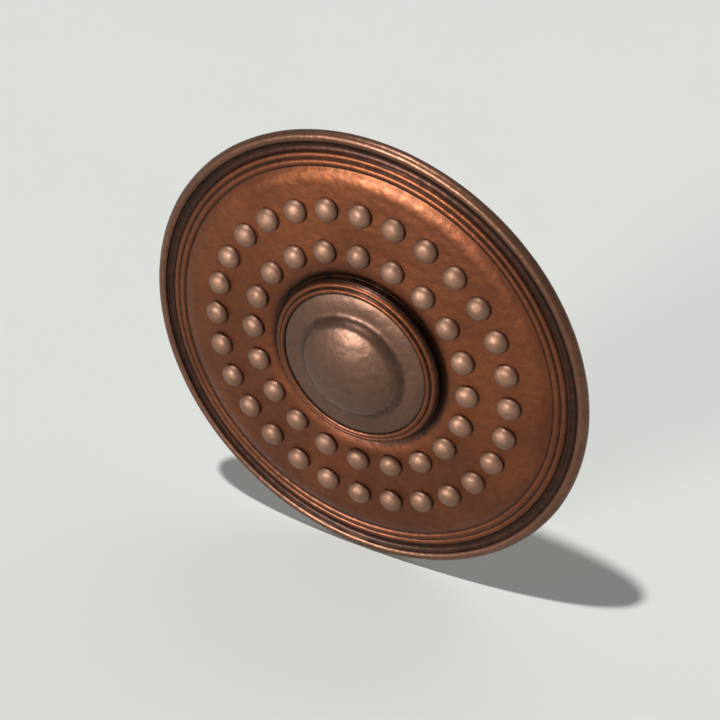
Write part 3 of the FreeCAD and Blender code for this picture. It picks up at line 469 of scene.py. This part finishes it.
def rim_section():
    """The roll's round outside and inside, joined over its two lips."""
    start_outside = ROLL_MIDDLE - math.sqrt(ROLL_OUTER ** 2 - ROLL_LIP ** 2)
    start_inside = ROLL_MIDDLE - math.sqrt(ROLL_INNER ** 2 - ROLL_LIP ** 2)
    outside = walk((start_outside, -ROLL_LIP), [(ROLL_MIDDLE + ROLL_OUTER, 0, start_outside, ROLL_LIP)],
                   ROLL_PACE_OUTSIDE)
    inside = walk((start_inside, ROLL_LIP), [(ROLL_MIDDLE + ROLL_INNER, 0, start_inside, -ROLL_LIP)],
                  ROLL_PACE_INSIDE)
    return outside[::-1] + inside[::-1]


def rim_painted_shade(radius):
    """Painted shade along the lips, on the roll's inner side."""
    return LIP_SHADE * ramp(radius, *LIP_COMES)


rim = turned("rim_roll", rim_section(), ROLL_HAMMER, rim_painted_shade, ROLL_SEGMENTS)
stand_for(rim, "rim_binding", RIM_METAL, "rim_bronze")


# The studs. A depth runs to the back from where a stud's foot meets the plate.

STUD_RADIUS, STUD_HEIGHT, STUD_SIDES = 15.7, 10.6, 40
DOME_STEPS, DOME_POWER = 22, 0.85
UNDER_RADII, UNDER_DEPTH = (STUD_RADIUS, 14.6, 9.0), -0.15
SHANK_RADIUS, SHANK_END = 3.0, 13.8
CLENCH_RADIUS, CLENCH_VIA, CLENCH_END, CLENCH_PACE = 5.0, (3.6, 15.1), 15.6, 0.8
UNEVEN_DEPTH, UNEVEN_SCALE, UNEVEN_STEP, UNEVEN_COMES = 0.22, 9, 3.1, (0.3, 3)
# Painted shade round each stud's foot, where it meets the plate, and plain dirt on the shank.
STUD_FOOT_SHADE, STUD_FOOT_SHADE_COMES, SHANK_DIRT = 0.75, (3.2, 0.1), 0.3

# The field's slope at each row, and its height at a station outside the row.
OUTER_RADIUS, OUTER_SLOPE, OUTER_STATION = 203.6, 2.4 / 35, (222.0, 14.5)
INNER_RADIUS, INNER_SLOPE, INNER_STATION = 149.0, 1.6 / 25, (165.0, 18.1)


def stud_line():
    """Half of a stud's section, in (radius, depth): dome, shank and hammered end."""
    turns = [TURN / 4 * i / DOME_STEPS for i in range(1, DOME_STEPS)]
    dome = [(TIP, -STUD_HEIGHT)]
    dome += [(STUD_RADIUS * math.sin(t), -STUD_HEIGHT * math.cos(t) ** DOME_POWER) for t in turns]
    under = [(radius, UNDER_DEPTH) for radius in (*UNDER_RADII, SHANK_RADIUS)]
    clench = walk((CLENCH_RADIUS, SHANK_END), [(*CLENCH_VIA, 0.0, CLENCH_END)], CLENCH_PACE)
    clench[-1] = (TIP, CLENCH_END)
    return dome + under + [(SHANK_RADIUS, SHANK_END)] + clench


def stud_row(name, count, radius, slope, station, seed):
    """All the studs of a row in one mesh, each a little uneven, as they are struck by hand."""
    section = stud_line()
    seat_height = station[1] + slope * (station[0] - radius)
    lean = math.atan(slope)
    points, faces, shade_and_dirt = [], [], []
    for i in range(count):
        angle = TURN * i / count
        outward = Vector((math.cos(angle), 0, math.sin(angle)))
        across = Vector((-math.sin(angle), 0, math.cos(angle)))
        back = BACK * math.cos(lean) - outward * math.sin(lean)
        level = outward * math.cos(lean) + BACK * math.sin(lean)
        foot = outward * radius + Vector((0, AXIS_SHIFT - seat_height, 0))
        shift = Vector((seed, i * UNEVEN_STEP, 0))
        faces += tube_faces(len(points), len(section), STUD_SIDES)
        for r, depth in section:
            for j in range(STUD_SIDES):
                t = TURN * j / STUD_SIDES
                spot = foot + (level * math.cos(t) + across * math.sin(t)) * r + back * depth
                uneven = noise.noise(spot / UNEVEN_SCALE + shift) * UNEVEN_DEPTH * ramp(-depth, *UNEVEN_COMES)
                points.append((spot + (spot - foot).normalized() * uneven) * MM)
                # Painted shade near the dome's foot; dirt on the shank behind.
                shade_and_dirt.append(STUD_FOOT_SHADE * ramp(-depth, *STUD_FOOT_SHADE_COMES) if depth < 0 else SHANK_DIRT)
    return to_mesh(name, points, faces, shade_and_dirt)


outer = stud_row("studs_outer_row", 28, OUTER_RADIUS, OUTER_SLOPE, OUTER_STATION, seed=11)
stand_for(outer, "outer_studs", STUD_METAL, "stud_bronze")
inner = stud_row("studs_inner_row", 20, INNER_RADIUS, INNER_SLOPE, INNER_STATION, seed=12)
stand_for(inner, "inner_studs", STUD_METAL, "stud_bronze")


# The back lining.

LINING_START = (87.0, 9.1)
LINING = [(140.0, 9.1), (165.0, 7.5), (187.0, 6.3), (222.0, 3.9), (266.0, -4.3), (283.0, -4.3),
          (285.0, -3.0), (289.5, -3.0)]
LINING_PACE, LINING_WALL, LINING_SEGMENTS = 1.6, 1.5, 432
LINING_WEAR = [(0.12, 9, 21), (0.25, 60, 22)]
EDGE_DIRT, EDGE_COMES = 0.7, (262, 270)
MOUTH_DIRT, MOUTH_COMES = 0.5, (96, 88)


def lining_grime(radius):
    """Dirt along the lining's outer edge and round the hand opening."""
    return max(EDGE_DIRT * ramp(radius, *EDGE_COMES), MOUTH_DIRT * ramp(radius, *MOUTH_COMES))


lining_line = rounded(walk(LINING_START, LINING, LINING_PACE), passes=2)
lining = turned("lining_hide", shell(lining_line, LINING_WALL, every=1), LINING_WEAR, lining_grime,
                LINING_SEGMENTS)
stand_for(lining, "back_lining", LINING_HIDE, "lining_leather")


# The grip's sleeve: a rounded box along X, from near to far in Y. Its seam runs along the back.

SLEEVE_HALF, SLEEVE_SIDE = 58.0, 15.95
SLEEVE_NEAR, SLEEVE_FAR, SLEEVE_BEND = -8.95, 10.45, 6.95
SLEEVE_MIDDLE = (SLEEVE_NEAR + SLEEVE_FAR) / 2
SLEEVE_PACE, SLEEVE_ROWS, BEND_STEPS = 1.1, 116, 8
HIDE_WALL, HIDE_SHARE = 1.75, 0.175
SEAM_DEPTH, SEAM_REACH, SEAM_SIDE = 0.75, 1.6, 5.2
PUCKER_DEPTH, PUCKER_REACH, PUCKER_PITCH = 0.22, 2.6, 6.0
WORN_DEPTH, WORN_LONG, WORN_ROUND = 0.16, 11, 7
END_DEPTH, END_REACH = 0.8, 1.6
SEAM_DIRT, SEAM_DIRT_REACH, FRONT_DIRT, INSIDE_DIRT = 0.9, 1.4, 0.15, 0.5

STITCHES, STITCH_MARGIN, STITCH_STEPS, STITCH_SIDES = 19, 4, 12, 8
STITCH_SLANT, STITCH_SINK, STITCH_LIFT, STITCH_THICK = 2.2, 1.05, 0.42, 0.5


def sleeve_ring():
    """Points round the handle in (Y, Z), on the sleeve's outside."""
    near_side, far_side = SLEEVE_NEAR + SLEEVE_BEND, SLEEVE_FAR - SLEEVE_BEND
    half = SLEEVE_SIDE - SLEEVE_BEND
    middles = [(far_side, half), (near_side, half), (near_side, -half), (far_side, -half)]
    corners = []
    for quarter, (y, z) in enumerate(middles):
        for i in range(BEND_STEPS + 1):
            angle = TURN / 4 * (quarter + i / BEND_STEPS)
            corners.append((y + SLEEVE_BEND * math.cos(angle), z + SLEEVE_BEND * math.sin(angle)))
    ring = []
    for i, (y, z) in enumerate(corners):
        ahead = corners[(i + 1) % len(corners)]
        count = max(1, round(math.dist((y, z), ahead) / SLEEVE_PACE))
        ring += [(y + (ahead[0] - y) * k / count, z + (ahead[1] - z) * k / count) for k in range(count)]
    return ring


def sleeve_dent(x, y, z):
    """How far the hide lies under the box: the seam's groove, the stitches' puckers, its hand-worn
    surface and its eased ends."""
    seam, pucker = 0.0, 0.0
    if y > 0:
        seam = SEAM_DEPTH * near(z, 0.0, SEAM_REACH)
        beat = 0.5 + 0.5 * math.cos(TURN * x / PUCKER_PITCH)
        pucker = PUCKER_DEPTH * near(abs(z), SEAM_SIDE, PUCKER_REACH) * beat
    worn = WORN_DEPTH + WORN_DEPTH * noise.noise(Vector((x / WORN_LONG, y / WORN_ROUND, z / WORN_ROUND)))
    ends = END_DEPTH * ramp(abs(x), SLEEVE_HALF - END_REACH, SLEEVE_HALF)
    return seam + pucker + worn + ends


def sleeve():
    """The hide round the handle, its edges butted in a seam at the back."""
    rows = [-SLEEVE_HALF + 2 * SLEEVE_HALF * i / SLEEVE_ROWS for i in range(SLEEVE_ROWS + 1)]
    ring = sleeve_ring()
    points, shade_and_dirt = [], []
    for x in rows:
        for y, z in ring:
            out = Vector((0, y - SLEEVE_MIDDLE, z)).normalized()
            points.append((Vector((x, y, z)) - out * sleeve_dent(x, y, z)) * MM)
            shade_and_dirt.append(SEAM_DIRT * near(z, 0.0, SEAM_DIRT_REACH) if y > 0 else FRONT_DIRT)
    for x in reversed(rows):
        for y, z in ring:
            inside_y = y - (y - SLEEVE_MIDDLE) * HIDE_SHARE
            points.append(Vector((x, inside_y, z * (1 - HIDE_WALL / SLEEVE_SIDE))) * MM)
            shade_and_dirt.append(INSIDE_DIRT)
    return to_mesh("sleeve_hide", points, ring_faces(2 * len(rows), len(ring), True, True), shade_and_dirt)


def stitches():
    """Waxed thread across the seam, one short stitch after another."""
    points, faces = [], []
    for k in range(STITCHES):
        x = -SLEEVE_HALF + STITCH_MARGIN + k * (2 * SLEEVE_HALF - 2 * STITCH_MARGIN) / (STITCHES - 1)
        path = []
        for i in range(STITCH_STEPS + 1):
            t = i / STITCH_STEPS
            lift = STITCH_LIFT * math.sin(math.pi * t) ** 0.5
            path.append(Vector((x + STITCH_SLANT * (t - 0.5), SLEEVE_FAR - STITCH_SINK + lift,
                                -SEAM_SIDE + 2 * SEAM_SIDE * t)))
        faces += tube_faces(len(points), len(path), STITCH_SIDES)
        for i, spot in enumerate(path):
            along = (path[min(i + 1, STITCH_STEPS)] - path[max(i - 1, 0)]).normalized()
            level = along.cross(BACK).normalized()
            up = level.cross(along).normalized()
            thick = STITCH_THICK * (1 - 0.5 * abs(2 * i / STITCH_STEPS - 1) ** 4)
            for j in range(STITCH_SIDES):
                a = TURN * j / STITCH_SIDES
                points.append((spot + (level * math.cos(a) + up * math.sin(a)) * thick) * MM)
    return to_mesh("sleeve_stitches", points, faces, [0.0] * len(points))


hide = sleeve()
stand_for(hide, "grip_sleeve", SLEEVE_HIDE, "sleeve_leather")
thread = stitches()
paint(thread, THREAD, "sleeve_leather")
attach(thread, "shield")


# CAD nodes that keep their shape and get a material.

PAINTS = {
    "boss_seat_ring": (BOARD_WOOD, "board_wood"),
    "rim_wire": (FITTING_METAL, "fitting_bronze"),
    "board_dowels": (BOARD_WOOD, "board_wood"),
    "grip_bar": (GRIP_WOOD, "grip_wood"),
    "grip_spine": (FITTING_METAL, "fitting_bronze"),
    "grip_rivets": (FITTING_METAL, "fitting_bronze"),
    "outer_roves": (FITTING_METAL, "fitting_bronze"),
    "inner_roves": (FITTING_METAL, "fitting_bronze"),
}
for side in ("left", "right"):
    for kind in ("ring_loop_", "loop_nails_", "strap_ring_"):
        PAINTS[kind + side] = (FITTING_METAL, "fitting_bronze")
for name in nodes:
    if name.startswith("core_board_"):
        PAINTS[name] = (BOARD_WOOD, "board_wood")
for name, (material, slot_name) in PAINTS.items():
    paint(nodes[name], material, slot_name)


# Stage: floor, room, lamps and camera.

FLOOR_Z, FLOOR_REACH = -0.300, 20.0
FLOOR_COLOUR, FLOOR_LIGHT = (0.670, 0.685, 0.655, 1), (0.685, 0.700, 0.670, 1)
FLOOR_DARK = (0.10, 0.10, 0.10, 1)
FLOOR_ROUGH, FLOOR_LOOK = 0.8, {"Specular IOR Level": 0.1}
SHOWN_RAYS = ("Is Camera Ray", "Is Glossy Ray", "Is Transmission Ray")


def floor_paint():
    """A plain floor. It shows pale to the camera, in reflections and through glass, and throws little
    light back."""
    s = Shader("floor_paint")
    path = s.add("ShaderNodeLightPath")
    camera_ray, glossy_ray, transmission_ray = (path.outputs[ray] for ray in SHOWN_RAYS)
    seen = s.math("MAXIMUM", s.math("MAXIMUM", camera_ray, glossy_ray), transmission_ray)
    grey = s.noise(scale=3, detail=3, rough=0.5)
    pale = s.mix(grey, FLOOR_COLOUR, FLOOR_LIGHT)
    normal = s.bump(grey, distance=0.0005, strength=0.2)
    return s.finish(s.mix(seen, FLOOR_DARK, pale), FLOOR_ROUGH, normal, FLOOR_LOOK)


floor_corners = [(x * FLOOR_REACH, y * FLOOR_REACH, FLOOR_Z) for x, y in ((-1, -1), (1, -1), (1, 1), (-1, 1))]
floor_mesh = bpy.data.meshes.new("floor")
floor_mesh.from_pydata(floor_corners, [], [(0, 1, 2, 3)])
floor = bpy.data.objects.new("floor", floor_mesh)
bpy.context.scene.collection.objects.link(floor)
floor.data.materials.append(floor_paint())

# The room's strength as a light in front, and behind from where a ray's Y is WINDOW_FULL, and as it shows.
ROOM_LIGHT, WINDOW_LIGHT, WINDOW_FULL, ROOM_SHOWN = 0.04, 0.6, 0.6, 0.45
ROOM_COLOUR = (0.96, 0.98, 1.0, 1)


def studio():
    """A dim room with a big soft window behind the shield, which lights its back. The camera, reflections
    and glass show an even pale room."""
    world = bpy.data.worlds.new("studio")
    bpy.context.scene.world = world
    world.use_nodes = True
    add, link = world.node_tree.nodes.new, world.node_tree.links.new
    path, place = add("ShaderNodeLightPath"), add("ShaderNodeTexCoord")
    split, window = add("ShaderNodeSeparateXYZ"), add("ShaderNodeMapRange")
    link(place.outputs["Generated"], split.inputs[0])
    link(split.outputs["Y"], window.inputs["Value"])
    window.inputs["From Min"].default_value = 0.0
    window.inputs["From Max"].default_value = WINDOW_FULL
    window.inputs["To Min"].default_value = ROOM_LIGHT
    window.inputs["To Max"].default_value = WINDOW_LIGHT
    level = window.outputs["Result"]
    for ray in SHOWN_RAYS:
        step = add("ShaderNodeMix")
        link(path.outputs[ray], step.inputs["Factor"])
        link(level, step.inputs["A"])
        step.inputs["B"].default_value = ROOM_SHOWN
        level = step.outputs["Result"]
    background = world.node_tree.nodes["Background"]
    background.inputs["Color"].default_value = ROOM_COLOUR
    link(level, background.inputs["Strength"])


def aim(thing, back):
    """Turns a lamp or camera so that it looks the opposite way to back, with its top upwards."""
    thing.rotation_mode = "QUATERNION"
    thing.rotation_quaternion = Vector(back).to_track_quat("Z", "Y")


def sun(name, direction, strength, width, colour=(1, 1, 1)):
    """A lamp that shines from a direction. Its width is an angle in degrees."""
    lamp = bpy.data.objects.new(name, bpy.data.lights.new(name, "SUN"))
    bpy.context.scene.collection.objects.link(lamp)
    lamp.data.energy = strength
    lamp.data.angle = math.radians(width)
    lamp.data.color = colour
    aim(lamp, direction)


studio()
sun("key_sun", (-0.165, -0.22, 1.0), strength=2.45, width=3)
sun("front_sun", (-0.32, -0.95, 0.10), strength=3.3, width=12, colour=(1.0, 0.96, 0.91))

CAMERA_PLACE = (1.358, -2.3675, 1.900)
CAMERA_BACK = (0.4096, -0.7094, 0.5736)
CAMERA_ANGLE, SENSOR_WIDTH = 15.0, 36.0
CLIP_NEAR, CLIP_FAR = 0.05, 100.0
camera = bpy.data.objects.new("camera", bpy.data.cameras.new("camera"))
bpy.context.scene.collection.objects.link(camera)
camera.data.sensor_width = SENSOR_WIDTH
camera.data.lens = SENSOR_WIDTH / 2 / math.tan(math.radians(CAMERA_ANGLE / 2))
camera.data.clip_start, camera.data.clip_end = CLIP_NEAR, CLIP_FAR
camera.location = CAMERA_PLACE
aim(camera, CAMERA_BACK)
bpy.context.scene.camera = camera
bpy.context.scene.view_settings.view_transform = "Standard"
